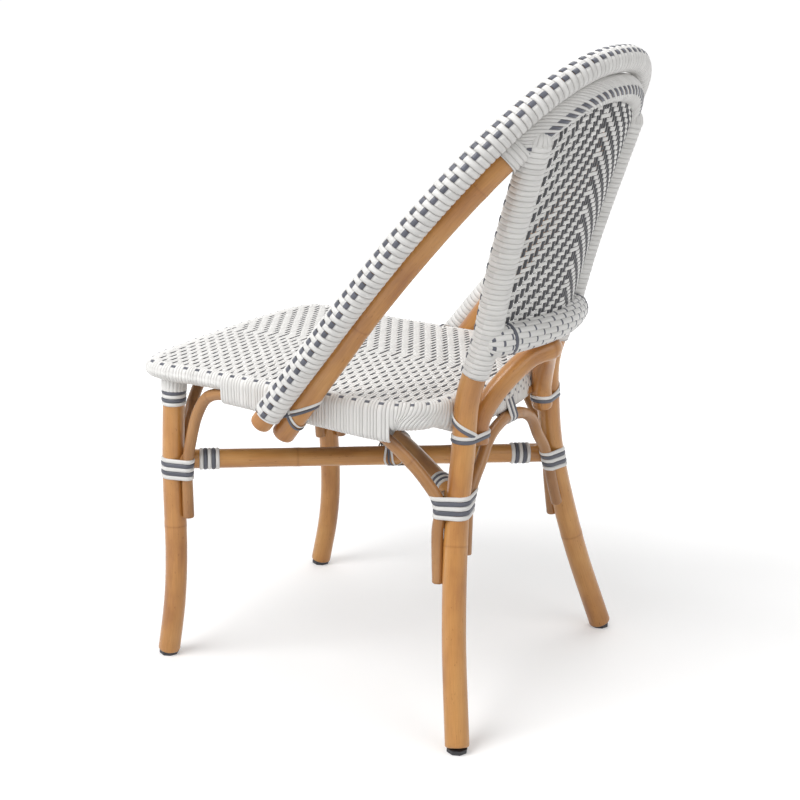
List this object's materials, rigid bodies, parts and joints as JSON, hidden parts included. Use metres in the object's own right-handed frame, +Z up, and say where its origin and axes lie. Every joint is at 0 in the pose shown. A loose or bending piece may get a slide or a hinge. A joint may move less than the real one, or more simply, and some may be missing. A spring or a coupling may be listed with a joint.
{
  "type": "rattan bistro chair",
  "caption": "Armchair of bent rattan poles with a woven strand seat and back, a hoop that forms arms and back, crossed stretchers and wound strand lashings.",
  "frame": {"origin": "floor level, under the centre of the chair's box", "axes": "+Z up, -Y the way the sitter faces, +X the sitter's left"},
  "size_m": [0.5284, 0.6232, 0.8846],
  "materials": {
    "rattan": "lacquered honey-brown rattan",
    "shade_rattan": "lacquered rattan, darker",
    "white_strand": "white synthetic strand",
    "grey_strand": "grey synthetic strand",
    "woven_strand": "white and grey woven strand",
    "glide_plastic": "dark grey",
    "pin_steel": "plain"
  },
  "bodies": {
    "root": {"rear_post_left": "rattan", "front_leg_left": "rattan", "rear_post_right": "rattan", "front_leg_right": "rattan", "glide_rear_left": "glide_plastic", "glide_front_left": "glide_plastic", "glide_rear_right": "glide_plastic", "glide_front_right": "glide_plastic", "seat_frame_hoop": "shade_rattan", "rear_seat_rail": "shade_rattan", "side_arch_left": "shade_rattan", "side_arch_right": "shade_rattan", "front_arch": "shade_rattan", "rear_arch": "shade_rattan", "outer_hoop": "rattan", "outer_hoop_wrap": "white_strand", "inner_hoop": "rattan", "inner_hoop_wrap": "white_strand", "rear_post_wrap_left": "white_strand", "rear_post_wrap_right": "white_strand", "lower_back_rail": "shade_rattan", "lower_back_rail_cover": "woven_strand", "back_brace_arch": "rattan", "back_panel": "woven_strand", "stretcher_low": "rattan", "stretcher_high": "rattan", "lashing_front_left": "white_strand", "lashing_rear_left": "white_strand", "lashing_front_right": "white_strand", "lashing_rear_right": "white_strand", "end_binding_front_left": "grey_strand", "end_binding_rear_right": "grey_strand", "end_binding_rear_left": "grey_strand", "end_binding_front_right": "grey_strand", "crossing_lashing": "white_strand", "leg_band_left": "white_strand", "leg_band_right": "white_strand", "post_strap_left": "white_strand", "post_strap_right": "white_strand", "rear_arch_strap": "grey_strand", "hoop_tie_left": "grey_strand", "hoop_tie_right": "grey_strand", "seat_cover": "woven_strand", "seat_pin_left": "pin_steel", "rail_pin_left": "pin_steel", "hoop_pin_left": "pin_steel", "brace_pin_left": "pin_steel", "seat_pin_right": "pin_steel", "rail_pin_right": "pin_steel", "hoop_pin_right": "pin_steel", "brace_pin_right": "pin_steel", "seat_butt_pin": "pin_steel", "crossing_pin": "pin_steel"}
  },
  "joints": []
}
